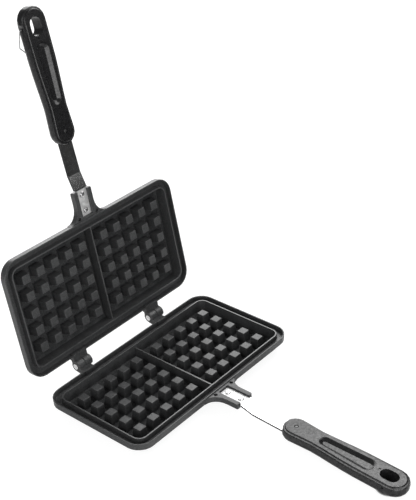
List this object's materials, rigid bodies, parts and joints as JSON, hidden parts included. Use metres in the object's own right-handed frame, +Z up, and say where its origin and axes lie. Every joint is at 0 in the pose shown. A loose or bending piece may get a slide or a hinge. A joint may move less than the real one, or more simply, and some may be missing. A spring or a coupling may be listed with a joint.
{
  "type": "stovetop waffle iron",
  "caption": "Hinged stovetop waffle iron with two cast plates of square studs, riveted steel arms and moulded grips; shown standing open, with a wire bail that latches the grips.",
  "frame": {"origin": "Centre of the lower plate's flat underside.", "axes": "X runs along the hinge line. Y points from the grips to the hinge. Z points up from the lower plate's flat underside to its studs."},
  "size_m": [0.247, 0.4662, 0.3926],
  "materials": {
    "plate_coating": "cast aluminium under a dark non-stick coating",
    "arm_steel": "plain rolled steel strip",
    "rivet_steel": "plain steel",
    "grip_phenolic": "black heat-proof phenolic moulding, satin",
    "pin_steel": "bright steel",
    "bail_wire": "bright drawn wire"
  },
  "bodies": {
    "lower": {"lower_plate": "plate_coating", "lower_arm": "arm_steel", "lower_arm_rivet_rear": "rivet_steel", "lower_arm_rivet_front": "rivet_steel", "lower_grip": "grip_phenolic", "lower_grip_screw": "rivet_steel", "hinge_pin_left": "pin_steel", "hinge_pin_right": "pin_steel"},
    "upper": {"upper_plate": "plate_coating", "upper_arm": "arm_steel", "upper_arm_rivet_rear": "rivet_steel", "upper_arm_rivet_front": "rivet_steel", "upper_grip": "grip_phenolic", "upper_grip_screw": "rivet_steel"},
    "latch": {"latch_bail": "bail_wire"}
  },
  "joints": [
    {"name": "main_hinge", "type": "hinge", "parent": "lower", "child": "upper", "pos_m": [0, 0.0808, 0.018], "axis": [1, 0, 0], "range_deg": [0, 100.16]},
    {"name": "latch_pivot", "type": "hinge", "parent": "upper", "child": "latch", "pos_m": [0, 0.15791, 0.36702], "axis": [1, 0, 0], "range_deg": [0, 214]}
  ]
}
